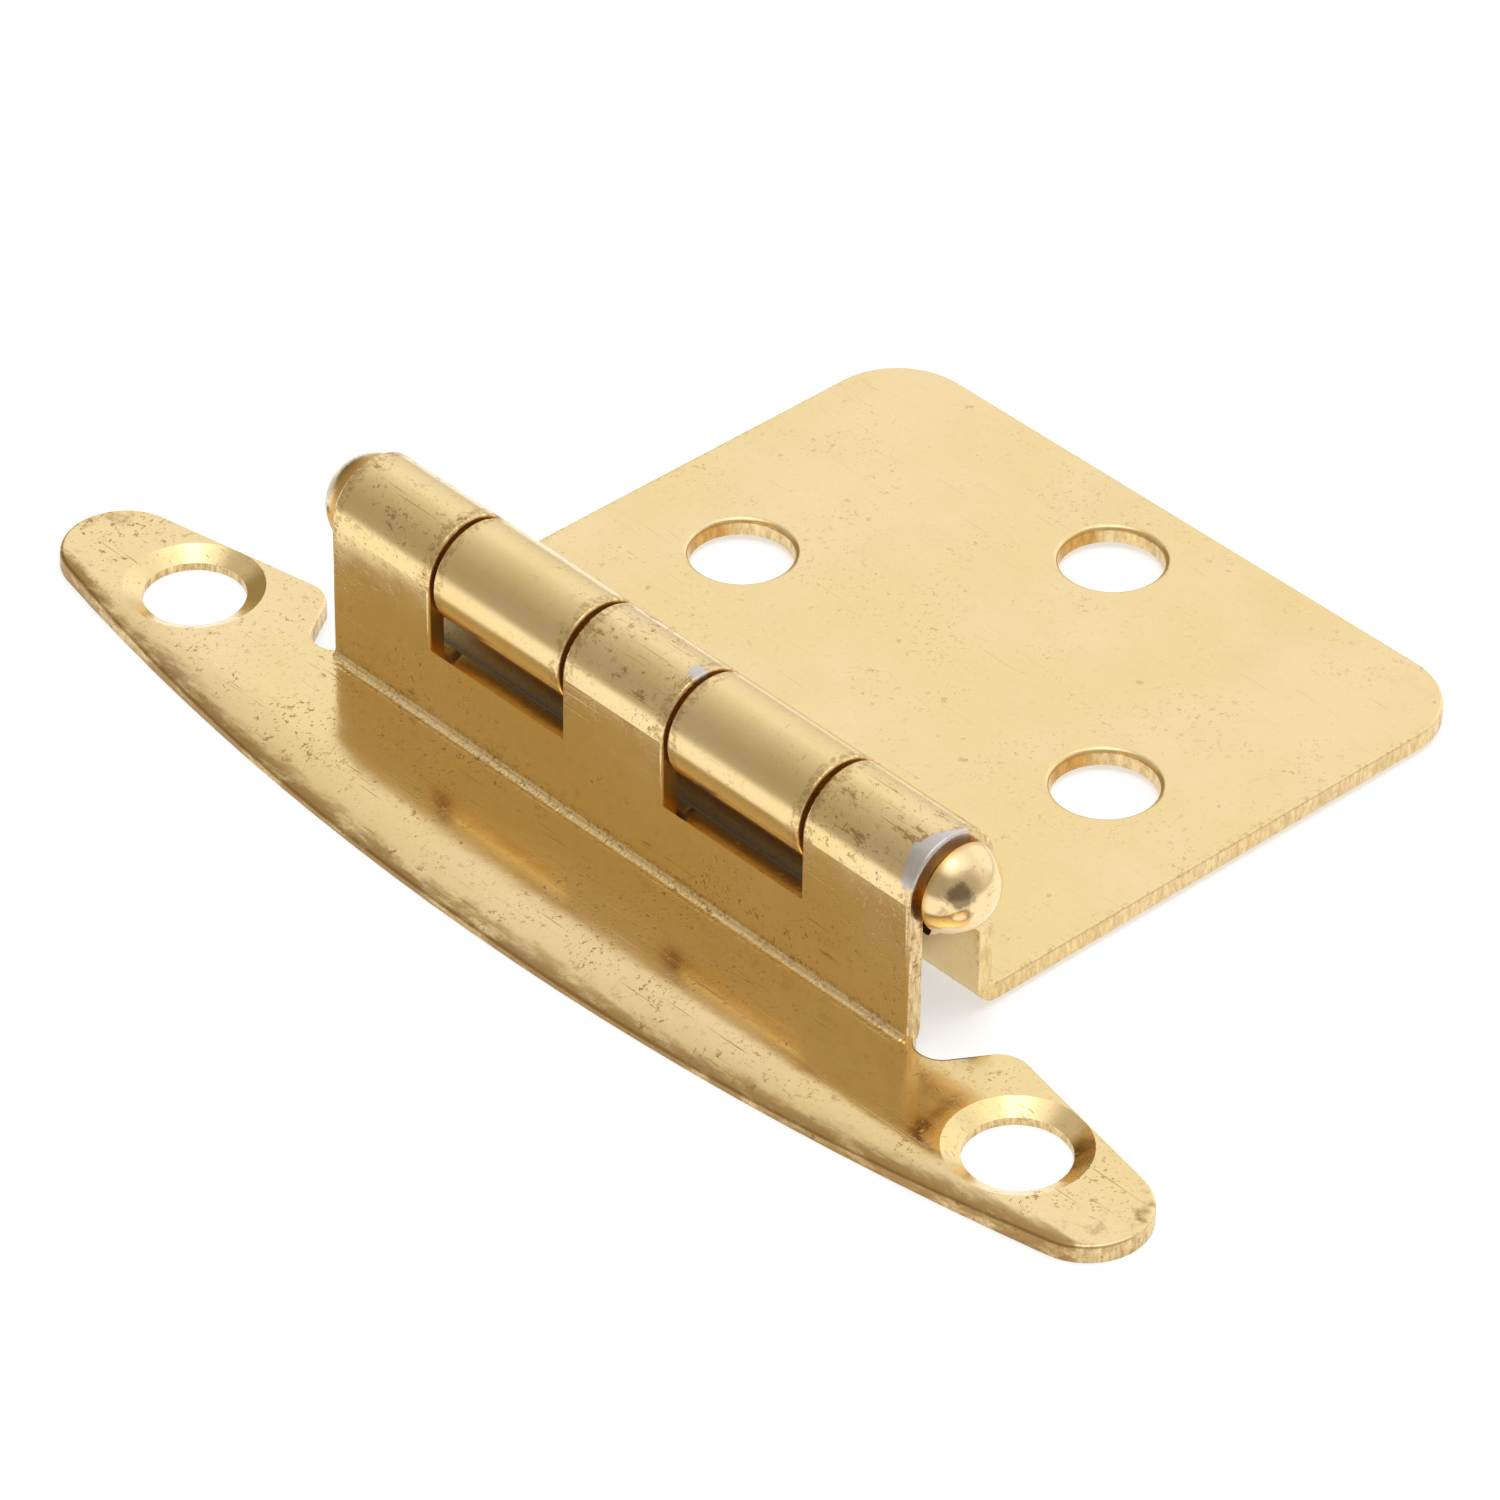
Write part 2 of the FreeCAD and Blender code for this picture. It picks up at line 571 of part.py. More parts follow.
def make_hinge_pin(doc):
    """Loose pin: a round head at -X, a shank through all five knuckles and a riveted head at +X."""
    body = make_body(doc, "hinge_pin")
    body.setExpression("Placement.Base.y", cell("pin_line"))
    body.setExpression("Placement.Base.z", cell("pin_height"))
    sketch = make_sketch(body, "half_section", "XZ_Plane")
    shank = sheet_value(sketch, "pin_radius")
    left = -sheet_value(sketch, "barrel_length / 2 + head_play")
    right = sheet_value(sketch, "barrel_length / 2 + rivet_head_gap")
    round_radius = sheet_value(sketch, "round_head_radius")
    round_height = sheet_value(sketch, "round_head_height")
    rivet_radius = sheet_value(sketch, "rivet_head_radius")
    rivet_height = sheet_value(sketch, "rivet_head_height")
    round_centre = left - round_height + (round_radius**2 + round_height**2) / (2 * round_height)
    rivet_centre = right + rivet_height - (rivet_radius**2 + rivet_height**2) / (2 * rivet_height)

    axis_line = add_line(sketch, (left - round_height, 0), (right + rivet_height, 0))
    rivet_dome = add_arc(sketch, (rivet_centre, 0), (right + rivet_height, 0), (right, rivet_radius), 1)
    rivet_face = add_line(sketch, (right, rivet_radius), (right, shank))
    shank_line = add_line(sketch, (right, shank), (left, shank))
    round_face = add_line(sketch, (left, shank), (left, round_radius))
    round_dome = add_arc(sketch, (round_centre, 0), (left, round_radius), (left - round_height, 0), 1)
    edges = [axis_line, rivet_dome, rivet_face, shank_line, round_face, round_dome]
    join_edges(sketch, edges, ["Coincident"] * 6)

    fix(sketch, "PointOnObject", axis_line[0], START, ACROSS)
    fix(sketch, "PointOnObject", axis_line[0], END, ACROSS)
    fix(sketch, "PointOnObject", rivet_dome[0], CENTRE, ACROSS)
    fix(sketch, "PointOnObject", round_dome[0], CENTRE, ACROSS)
    fix(sketch, "Horizontal", shank_line[0])
    fix(sketch, "Vertical", rivet_face[0])
    fix(sketch, "Vertical", round_face[0])
    hold(sketch, "DistanceY", *ORIGIN, shank_line[0], START, to="pin_radius")
    hold(sketch, "DistanceY", *ORIGIN, rivet_face[0], START, to="rivet_head_radius")
    hold(sketch, "DistanceY", *ORIGIN, round_face[0], END, to="round_head_radius")
    hold(sketch, "DistanceX", *ORIGIN, shank_line[0], START, to="barrel_length / 2 + rivet_head_gap")
    hold(sketch, "DistanceX", shank_line[0], END, *ORIGIN, to="barrel_length / 2 + head_play")
    hold(sketch, "DistanceX", rivet_face[0], START, axis_line[0], END, to="rivet_head_height")
    hold(sketch, "DistanceX", axis_line[0], START, round_face[0], END, to="round_head_height")

    turned = add_feature(body, "Revolution", "turned_pin")
    turned.Profile = sketch
    turned.ReferenceAxis = (sketch, ["H_Axis"])
    turned.Angle = 360
    doc.recompute()
    return body


def check_document(doc):
    """Stop if any object failed to compute or any sub-part is not one valid solid."""
    for item in doc.Objects:
        if "Invalid" in item.State or "Error" in item.State:
            raise RuntimeError(f"{item.Label}: {item.State}")
    for body in NODES:
        shape = body.Shape
        if shape.isNull() or not shape.isValid() or len(shape.Solids) != 1:
            raise RuntimeError(f"{body.Label} is not one valid solid")


def main():
    """Build the document and write one STEP file for each sub-part."""
    doc = FreeCAD.newDocument("CabinetHinge")
    make_sheet(doc)
    make_frame_leaf(doc)
    make_door_leaf(doc)
    make_hinge_pin(doc)
    doc.recompute()
    check_document(doc)
    os.makedirs("parts", exist_ok=True)
    for body in NODES:
        body.Shape.exportStep(os.path.join("parts", body.Label + ".step"))
        print(f"{body.Label}: {body.Shape.Volume:.1f} cubic mm")


main()
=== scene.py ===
"""Looks of a surface-mounted cabinet hinge in brass-plated steel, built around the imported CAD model."""

import math

import bpy
from mathutils import Matrix, Vector


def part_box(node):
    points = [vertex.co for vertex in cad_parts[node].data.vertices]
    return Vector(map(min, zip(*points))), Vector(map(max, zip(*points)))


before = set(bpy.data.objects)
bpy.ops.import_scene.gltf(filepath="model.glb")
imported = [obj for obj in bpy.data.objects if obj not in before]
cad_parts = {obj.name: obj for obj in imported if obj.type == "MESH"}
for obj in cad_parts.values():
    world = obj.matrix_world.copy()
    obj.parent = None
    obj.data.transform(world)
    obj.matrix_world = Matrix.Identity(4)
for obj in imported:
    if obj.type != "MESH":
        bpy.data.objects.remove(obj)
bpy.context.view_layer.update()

MM = 0.001
scene = bpy.context.scene
scene.view_settings.view_transform = "Standard"

FRAME_LOW, FRAME_HIGH = [Vector(corner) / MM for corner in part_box("frame_leaf")]
DOOR_LOW, DOOR_HIGH = [Vector(corner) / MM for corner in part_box("door_leaf")]
PIN_LOW, PIN_HIGH = [Vector(corner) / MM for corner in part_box("hinge_pin")]
PIN_LINE = (PIN_LOW.y + PIN_HIGH.y) / 2
PIN_HEIGHT = (PIN_LOW.z + PIN_HIGH.z) / 2
KNUCKLE = FRAME_HIGH.z - PIN_HEIGHT
SHEET = 0.9
BARREL_END = 19.0
FRAME_KNUCKLE_ENDS = (12.3, 3.3)
DOOR_KNUCKLE_ENDS = (12.0, 3.6)
BOW_RADIUS = 153.0
BEND_FOOT = FRAME_LOW.y + 8.05

# where the camera stands: angles in degrees, the rest in millimetres
AZIMUTH, ELEVATION, ROLL = 46.72, 37.25, 0.65
LENS = 206.9
LOOK_AT = Vector((-0.77, 10.52, 0.9))
CAMERA_DISTANCE = 391.06


# ---------------------------------------------------------------- camera


def make_camera():
    """Long lens looking down at the hinge from the front right."""
    azimuth, elevation, roll = (math.radians(angle) for angle in (AZIMUTH, ELEVATION, ROLL))
    back = Vector(
        (
            math.sin(azimuth) * math.cos(elevation),
            -math.cos(azimuth) * math.cos(elevation),
            math.sin(elevation),
        )
    )
    right = Vector((math.cos(azimuth), math.sin(azimuth), 0))
    up = back.cross(right)
    turned_right = math.cos(roll) * right + math.sin(roll) * up
    turned_up = -math.sin(roll) * right + math.cos(roll) * up
    data = bpy.data.cameras.new("camera")
    data.lens = LENS
    data.sensor_width = 36
    data.clip_start, data.clip_end = 0.01, 10
    camera = bpy.data.objects.new("camera", data)
    scene.collection.objects.link(camera)
    place = LOOK_AT * MM + back * CAMERA_DISTANCE * MM
    turn = Matrix((turned_right, turned_up, back)).transposed()
    camera.matrix_world = Matrix.Translation(place) @ turn.to_4x4()
    scene.camera = camera


# ---------------------------------------------------------------- node helpers


class Nodes:
    """Short ways to add nodes to one tree."""

    def __init__(self, tree):
        self.tree = tree

    def add(self, kind, inputs=None, **settings):
        node = self.tree.nodes.new(kind)
        for name, value in settings.items():
            setattr(node, name, value)
        for name, value in (inputs or {}).items():
            self.feed(node.inputs[name], value)
        return node

    def feed(self, socket, value):
        if isinstance(value, bpy.types.NodeSocket):
            self.tree.links.new(value, socket)
        else:
            socket.default_value = value

    def math(self, operation, *values, clamp=False):
        node = self.add("ShaderNodeMath", operation=operation, use_clamp=clamp)
        for socket, value in zip(node.inputs, values):
            self.feed(socket, value)
        return node.outputs[0]

    def vector(self, operation, first, second=None, scale=None):
        node = self.add("ShaderNodeVectorMath", operation=operation)
        self.feed(node.inputs[0], first)
        if second is not None:
            self.feed(node.inputs[1], second)
        if scale is not None:
            self.feed(node.inputs["Scale"], scale)
        return node.outputs["Value"] if operation in ("LENGTH", "DISTANCE") else node.outputs[0]

    def ramp(self, value, low, high, smooth=True):
        """0 below low, 1 above high; the other way round when low is the greater."""
        kind = "SMOOTHSTEP" if smooth else "LINEAR"
        flip = low > high
        node = self.add(
            "ShaderNodeMapRange",
            {
                "From Min": min(low, high),
                "From Max": max(low, high),
                "To Min": 1.0 if flip else 0.0,
                "To Max": 0.0 if flip else 1.0,
            },
            interpolation_type=kind,
        )
        self.feed(node.inputs[0], value)
        return node.outputs[0]

    def band(self, value, centre, half, soft):
        """1 inside a band round a centre, falling to 0 over a soft edge."""
        off = self.size(self.math("SUBTRACT", value, centre))
        return self.ramp(off, half + soft, half)

    def curve(self, value, points):
        """A smooth run of brightness through points, warmer where it is darker."""
        node = self.add("ShaderNodeValToRGB", {"Fac": value})
        ramp = node.color_ramp
        ramp.interpolation = "EASE"
        while len(ramp.elements) < len(points):
            ramp.elements.new(0.5)
        for element, (place, grey) in zip(ramp.elements, points):
            element.position = place
            shade = 1 - grey
            element.color = (grey, grey * (1 - 0.17 * shade), grey * (1 - 0.42 * shade), 1)
        return node.outputs[0]

    def noise(self, place, scale, detail=3.0, rough=0.5, distortion=0.0):
        node = self.add(
            "ShaderNodeTexNoise",
            {
                "Vector": place,
                "Scale": scale,
                "Detail": detail,
                "Roughness": rough,
                "Distortion": distortion,
            },
        )
        return node.outputs[0]

    def stretch(self, place, turn, scale, shift=(0.0, 0.0, 0.0)):
        node = self.add(
            "ShaderNodeMapping",
            {"Vector": place, "Rotation": turn, "Scale": scale, "Location": shift},
        )
        return node.outputs[0]

    def mix(self, amount, first, second):
        node = self.add("ShaderNodeMix", data_type="RGBA")
        self.feed(node.inputs["Factor"], amount)
        self.feed(node.inputs[6], first)
        self.feed(node.inputs[7], second)
        return node.outputs[2]

    def sum(self, *values):
        total = values[0]
        for value in values[1:]:
            total = self.math("ADD", total, value)
        return total

    def size(self, value):
        """The value without its sign."""
        return self.math("ABSOLUTE", value)

    def product(self, *values):
        total = values[0]
        for value in values[1:]:
            total = self.math("MULTIPLY", total, value)
        return total

    def most(self, *values):
        total = values[0]
        for value in values[1:]:
            total = self.math("MAXIMUM", total, value)
        return total


GOLD = (0.868, 0.664, 0.32, 1)
PALE_GOLD = (0.885, 0.690, 0.385, 1)
RED_GOLD = (0.78, 0.56, 0.25, 1)
# brown for specks, hairlines, wear and the painted shade on the blanked faces
BROWN = (0.34, 0.19, 0.06, 1)
# umber for the painted dark reflection and the darker patches on the pin heads
UMBER = (0.10, 0.06, 0.025, 1)
# amber for painted shade in gaps and recesses
SHADE_AMBER = (0.70, 0.36, 0.06, 1)
PIN_GOLD = (0.80, 0.66, 0.42, 1)
STEEL = (0.66, 0.62, 0.60, 1)
WHITE = (0.47, 0.47, 0.47, 1)
PALE_GREY = (0.55, 0.55, 0.55, 1)


def start_material(name):
    """A new metal material, its node helper, its shader and the place on the piece in millimetres."""
    material = bpy.data.materials.new(name)
    material.use_nodes = True
    tree = material.node_tree
    nodes = Nodes(tree)
    shader = tree.nodes["Principled BSDF"]
    shader.inputs["Metallic"].default_value = 1.0
    place = nodes.add("ShaderNodeTexCoord").outputs["Object"]
    place = nodes.vector("SCALE", place, scale=1 / MM)
    return material, nodes, shader, place


def plated_steel(name, finish, masks):
    """Polished brass plating over steel, with tint patches, specks, scratches, worn places, and painted
    shade and a painted reflection where the masks put them.

    masks(nodes, place, axes) returns the amounts, 0 to 1, of brown wear (which also holds painted shade on
    the cut faces), bare steel, wrinkled grain, amber painted shade, and dark patches that are partly a
    painted reflection.
    """
    material, nodes, shader, place = start_material(name)
    axes = nodes.add("ShaderNodeSeparateXYZ", {"Vector": place}).outputs

    # slow changes of tint in the plating
    cloud = nodes.noise(place, 0.10, 4.0, 0.6)
    colour = nodes.mix(nodes.ramp(cloud, 0.35, 0.7), finish["deep"], finish["pale"])
    blush = nodes.noise(nodes.stretch(place, (0, 0, 0.3), (1, 1, 1), (7, 3, 5)), 0.22, 3.0, 0.55)
    colour = nodes.mix(nodes.product(nodes.ramp(blush, 0.52, 0.75), 0.22), colour, RED_GOLD)

    # fine scratches that run every way
    scratch = None
    for turn, shift, width in ((0.5, 3.0, 9.0), (-0.9, 11.0, 7.0), (1.45, 23.0, 11.0)):
        scale, offset = (0.12, width, width * 0.5), (shift, -shift, 2 * shift)
        streak = nodes.stretch(place, (0.1, 0.2, turn), scale, offset)
        line = nodes.ramp(nodes.noise(streak, 0.55, 2.0, 0.6), 0.66, 0.74)
        scratch = line if scratch is None else nodes.most(scratch, line)
    patch = nodes.ramp(nodes.noise(place, 0.12, 2.0), 0.42, 0.62)
    scratch = nodes.product(scratch, patch)

    # brown hairlines where something sharp went through the plating
    hairline = None
    for turn, shift in ((0.35, 41.0), (1.25, 17.0), (-0.7, 63.0), (0.85, 29.0)):
        run = nodes.stretch(place, (0.15, 0.1, turn), (0.35, 14.0, 7.0), (shift, shift, -shift))
        line = nodes.ramp(nodes.noise(run, 0.6, 1.0, 0.4), 0.73, 0.79)
        run_patch = nodes.stretch(place, (0, 0, turn), (0.6, 1, 1), (-shift, shift, 0))
        line = nodes.product(line, nodes.ramp(nodes.noise(run_patch, 0.4, 2.0), 0.45, 0.55))
        hairline = line if hairline is None else nodes.most(hairline, line)
    hairline = nodes.product(hairline, finish["hairlines"])

    # dark specks where the plating is pitted, in loose crowds
    crowd = nodes.ramp(nodes.noise(place, 0.28, 3.0, 0.6), 0.46, 0.66)
    fleck = nodes.ramp(nodes.noise(place, 2.4, 4.0, 0.68, 0.4), 0.585, 0.65)
    fine_place = nodes.stretch(place, (0, 0, 0.5), (1, 0.6, 1), (9, 2, 4))
    fine_fleck = nodes.ramp(nodes.noise(fine_place, 6.5, 2.0), 0.62, 0.70)
    fleck = nodes.most(fleck, nodes.product(fine_fleck, 0.7))
    density = nodes.sum(nodes.product(crowd, finish["crowded"]), finish["scattered"])
    fleck = nodes.product(fleck, density)
    pit_place = nodes.stretch(place, (0.4, 0.3, 0.2), (1, 1, 1), (31, 7, 3))
    pit = nodes.ramp(nodes.noise(pit_place, 1.5, 2.0), 0.735, 0.765)

    worn = masks(nodes, place, axes)
    brown, steel, grain, amber_shade = worn["brown"], worn["steel"], worn["grain"], worn["amber_shade"]
    specks = nodes.math("MINIMUM", nodes.sum(fleck, nodes.product(pit, finish["pits"])), 1.0)
    colour = nodes.mix(nodes.product(specks, 0.75), colour, BROWN)
    colour = nodes.mix(nodes.product(hairline, 0.75), colour, BROWN)
    # painted shade: amber in gaps, recesses and under the pin heads
    colour = nodes.mix(amber_shade, colour, SHADE_AMBER)
    # brown wear, with the painted shade of the blanked faces
    colour = nodes.mix(brown, colour, BROWN)
    # painted reflection: the dark blob on the right pin head, with darker patches on the heads
    colour = nodes.mix(worn["dark_reflection_and_patches"], colour, UMBER)
    colour = nodes.mix(steel, colour, STEEL)
    nodes.feed(shader.inputs["Base Color"], colour)

    smear_place = nodes.stretch(place, (0, 0, 0.7), (0.5, 2.2, 1))
    smear = nodes.ramp(nodes.noise(smear_place, 0.35, 5.0, 0.65), 0.3, 0.75)
    rough = nodes.sum(
        finish["rough"],
        nodes.product(smear, finish["smear"]),
        nodes.product(scratch, 0.14),
        nodes.product(specks, 0.25),
        nodes.product(brown, 0.22),
        nodes.product(steel, 0.12),
        nodes.product(grain, 0.08),
        nodes.product(amber_shade, 0.25),
        nodes.product(hairline, 0.2),
    )
    nodes.feed(shader.inputs["Roughness"], rough)

    # relief: rolled-sheet waviness, orange peel, scratches, pits and wear; the wear dent also lies under
    # the painted shade on the cut faces
    wave = nodes.noise(place, 0.45, 2.0)
    peel = nodes.noise(place, 5.5, 2.0, 0.6)
    wrinkle = nodes.noise(nodes.stretch(place, (0, 0, 0), (1.6, 0.7, 0.7)), 4.5, 3.0, 0.7)
    height = nodes.sum(
        nodes.product(wave, finish["wave"]),
        nodes.product(peel, finish["peel"]),
        nodes.product(scratch, -0.0012),
        nodes.product(specks, -0.0035),
        nodes.product(brown, -0.004),
        nodes.product(hairline, -0.004),
        nodes.product(wrinkle, grain, 0.035),
    )
    bump = nodes.add("ShaderNodeBump", {"Height": height, "Strength": 1.0, "Distance": MM}).outputs[0]
    nodes.feed(shader.inputs["Normal"], bump)
    return material


# ---------------------------------------------------------------- the three sub-parts


def rim_wear(nodes, place, axes, planes):
    """Wear next to the ends of the knuckles: a ragged band about each end plane, on the barrel only."""
    ragged = nodes.noise(place, 1.6, 4.0, 0.65)
    total = None
    for plane, width in planes:
        off = nodes.size(nodes.math("SUBTRACT", axes[0], plane))
        reach = nodes.product(ragged, width * 2)
        near = nodes.ramp(nodes.math("SUBTRACT", reach, off), 0.0, width * 0.35)
        total = near if total is None else nodes.most(total, near)
    return nodes.product(total, nodes.ramp(axes[2], PIN_HEIGHT - KNUCKLE, PIN_HEIGHT - 0.3))


def cut_edges(nodes, place, axes, top):
    """Painted shade on the blanked faces, in brown streaks, and amber painted shade between and behind the
    knuckles.
    """
    facing = nodes.add("ShaderNodeTexCoord").outputs["Normal"]
    parts = nodes.add("ShaderNodeSeparateXYZ", {"Vector": facing}).outputs
    level = nodes.ramp(nodes.size(parts[2]), 0.75, 0.25)
    low = nodes.product(level, nodes.ramp(axes[2], top, top - 0.1))
    side = nodes.ramp(nodes.size(parts[0]), 0.75, 0.95)
    streaks = nodes.noise(nodes.stretch(place, (0, 0, 0), (1, 1, 0.25)), 4.0, 4.0, 0.7)
    streaked = nodes.ramp(streaks, 0.3, 0.7)
    across = nodes.size(axes[0])
    inner_side = nodes.product(side, nodes.ramp(across, BARREL_END - 0.2, BARREL_END - 0.4))
    outer_side = nodes.math("SUBTRACT", side, inner_side)
    inside = nodes.product(
        nodes.ramp(nodes.size(parts[1]), 0.6, 0.9),
        nodes.band(axes[2], 0.5 * PIN_HEIGHT, 0.22 * PIN_HEIGHT, 0.8),
        nodes.ramp(axes[1], PIN_LINE - KNUCKLE + 0.3, PIN_LINE - KNUCKLE + 0.6),
        nodes.ramp(across, BARREL_END - 3.5, BARREL_END - 5.5),
    )
    # painted shade: the sheet's blanked faces, turned from the light, coloured brown in streaks
    brown = nodes.product(nodes.most(low, outer_side), streaked)
    # painted shade: amber on the knuckle ends and window walls between the knuckles, and on the faces seen
    # behind the windows
    amber_shade = nodes.most(nodes.product(inner_side, 0.8), nodes.product(inside, 0.85))
    return brown, amber_shade


def frame_masks(nodes, place, axes):
    """Worn front edge, ears and knuckle ends, two steel chips on the barrel, wrinkled strip at the bend."""
    ragged = nodes.noise(place, 0.9, 5.0, 0.7)
    fine = nodes.noise(place, 3.6, 3.0, 0.65)

    # distance in from the bow-shaped front edge
    centre = (0.0, BOW_RADIUS + FRAME_LOW.y, 0.0)
    flat = nodes.vector("MULTIPLY", place, (1.0, 1.0, 0.0))
    inward = nodes.math("SUBTRACT", BOW_RADIUS, nodes.vector("DISTANCE", flat, centre))
    low = nodes.ramp(axes[2], SHEET + 0.3, SHEET + 0.05)
    edge = nodes.product(nodes.ramp(inward, 1.7, 0.1), low)
    stretchy = nodes.noise(nodes.stretch(place, (0, 0, 0.2), (0.35, 1.2, 1)), 0.8, 5.0, 0.7)
    front = nodes.ramp(nodes.sum(stretchy, nodes.product(edge, 0.34)), 0.62, 0.88)
    front = nodes.product(front, edge)

    ear = nodes.product(nodes.ramp(nodes.size(axes[0]), 31.0, 34.6), low)
    ear = nodes.product(nodes.ramp(nodes.sum(ragged, nodes.product(ear, 0.15)), 0.62, 0.88), ear)

    planes = (BARREL_END, *FRAME_KNUCKLE_ENDS)
    ends = [(side * plane, 0.7) for plane in planes for side in (-1, 1)]
    rims = nodes.product(rim_wear(nodes, place, axes, ends), nodes.ramp(fine, 0.38, 0.62))

    # brown blotches on top of the barrel
    blotch_place = nodes.stretch(place, (0, 0, 0), (0.6, 1, 1), (3, 8, 5))
    blotch = nodes.ramp(nodes.noise(blotch_place, 0.85, 6.0, 0.78), 0.56, 0.63)
    blotch = nodes.product(blotch, nodes.ramp(axes[2], PIN_HEIGHT + 0.3, PIN_HEIGHT + 1.2))

    # a crescent of bare steel hugging the end of the right knuckle
    along_rim = nodes.size(nodes.math("SUBTRACT", axes[1], PIN_LINE - 1.5))
    chip_start = nodes.sum(nodes.product(along_rim, 0.42), nodes.product(fine, 0.5), BARREL_END - 1.35)
    chip = nodes.ramp(nodes.math("SUBTRACT", axes[0], chip_start), 0.0, 0.08)
    chip = nodes.product(chip, nodes.ramp(axes[2], PIN_HEIGHT + 0.6, PIN_HEIGHT + 1.0))
    chip = nodes.product(chip, nodes.ramp(along_rim, 2.6, 2.2))
    second_place = nodes.vector("DISTANCE", place, (3.0, PIN_LINE - 0.2, FRAME_HIGH.z))
    second = nodes.ramp(nodes.sum(second_place, nodes.product(fine, 0.9)), 0.95, 0.8)
    steel = nodes.most(chip, second)

    # wrinkles along the foot of the flange
    strip_x = nodes.ramp(nodes.size(axes[0]), BARREL_END, BARREL_END - 0.6)
    strip_y = nodes.band(axes[1], BEND_FOOT, 0.30, 0.12)
    strip_z = nodes.band(axes[2], SHEET + 0.22, 0.24, 0.12)
    strip = nodes.product(strip_y, strip_z, strip_x)
    strip = nodes.product(strip, nodes.ramp(nodes.noise(place, 0.5, 4.0, 0.7), 0.30, 0.62))
    flecked = nodes.product(strip, nodes.ramp(nodes.noise(place, 5.5, 2.0, 0.6), 0.5, 0.62))
    # painted shade: brown on the blanked faces, amber between and behind the knuckles
    blanked_face_shade, amber_shade = cut_edges(nodes, place, axes, SHEET)
    brown = nodes.most(
        nodes.product(front, 0.9),
        nodes.product(ear, 0.85),
        nodes.product(rims, 0.5),
        nodes.product(blotch, 0.75),
        nodes.product(blanked_face_shade, 0.72),
        nodes.product(flecked, 0.6),
    )
    return {"brown": brown, "steel": steel, "grain": strip, "amber_shade": amber_shade, "dark_reflection_and_patches": 0.0}


def door_masks(nodes, place, axes):
    """Worn ends of the two knuckles and a slightly worn outline."""
    fine = nodes.noise(place, 3.6, 3.0, 0.65)
    ends = [(side * plane, 0.6) for plane in DOOR_KNUCKLE_ENDS for side in (-1, 1)]
    rims = nodes.product(rim_wear(nodes, place, axes, ends), nodes.ramp(fine, 0.38, 0.62))
    side = nodes.ramp(nodes.size(axes[0]), DOOR_HIGH.x - 0.5, DOOR_HIGH.x)
    side = nodes.product(side, nodes.ramp(fine, 0.5, 0.66))
    # painted shade: brown on the blanked faces, amber between and behind the knuckles
    blanked_face_shade, amber_shade = cut_edges(nodes, place, axes, DOOR_LOW.z + SHEET)
    brown = nodes.most(
        nodes.product(rims, 0.5),
        nodes.product(side, 0.4),
        nodes.product(blanked_face_shade, 0.5),
    )
    return {"brown": brown, "steel": 0.0, "grain": 0.0, "amber_shade": amber_shade, "dark_reflection_and_patches": 0.0}


def pin_masks(nodes, place, axes):
    """Amber painted shade under the heads, a painted dark reflection on the right head, darker head
    patches.
    """
    off = nodes.size(axes[0])
    # painted shade: amber on the shank and in the gap under each head
    ring = nodes.ramp(off, BARREL_END + 0.75, BARREL_END + 0.35)
    ragged = nodes.noise(place, 1.4, 4.0, 0.65)
    # painted reflection: a dark blob on the right head
    spot = nodes.vector("DISTANCE", place, (PIN_HIGH.x - 0.55, PIN_LINE - 1.1, PIN_HEIGHT + 0.75))
    dark_reflection_and_patches = nodes.ramp(nodes.sum(spot, nodes.product(ragged, 1.2)), 1.45, 1.0)
    cap = nodes.ramp(off, BARREL_END + 0.8, BARREL_END + 1.0)
    cap = nodes.product(cap, nodes.ramp(ragged, 0.58, 0.72))
    left_head_darkening = nodes.ramp(axes[0], -BARREL_END - 0.4, -BARREL_END - 0.9)
    left_head_darkening = nodes.product(left_head_darkening, nodes.ramp(ragged, 0.30, 0.55))
    dark_reflection_and_patches = nodes.most(
        nodes.product(dark_reflection_and_patches, 0.75),
        nodes.product(cap, 0.35),
        nodes.product(left_head_darkening, 0.5),
    )
    amber_shade = nodes.product(ring, 0.8)
    return {"brown": 0.0, "steel": 0.0, "grain": 0.0, "amber_shade": amber_shade, "dark_reflection_and_patches": dark_reflection_and_patches}


FINISHES = {
    "frame_leaf": {
        "deep": GOLD, "pale": PALE_GOLD,
        "rough": 0.13, "smear": 0.09, "crowded": 0.9, "scattered": 0.3,
        "pits": 0.9, "hairlines": 0.8, "wave": 0.018, "peel": 0.0012,
    },
    "door_leaf": {
        "deep": GOLD, "pale": PALE_GOLD,
        "rough": 0.17, "smear": 0.08, "crowded": 0.4, "scattered": 0.08,
        "pits": 0.4, "hairlines": 0.2, "wave": 0.010, "peel": 0.0008,
    },
    "hinge_pin": {
        "deep": PIN_GOLD, "pale": PALE_GOLD,
        "rough": 0.12, "smear": 0.07, "crowded": 0.4, "scattered": 0.15,
        "pits": 1.0, "hairlines": 0.5, "wave": 0.012, "peel": 0.0012,
    },
}
MASKS = {"frame_leaf": frame_masks, "door_leaf": door_masks, "hinge_pin": pin_masks}


def dress_parts():
    """Give each carried-over CAD node its own material."""
    for node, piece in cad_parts.items():
        material = plated_steel(node + "_plating", FINISHES[node], MASKS[node])
        piece.data.materials.clear()
        piece.data.materials.append(material)


# ---------------------------------------------------------------- floor and light


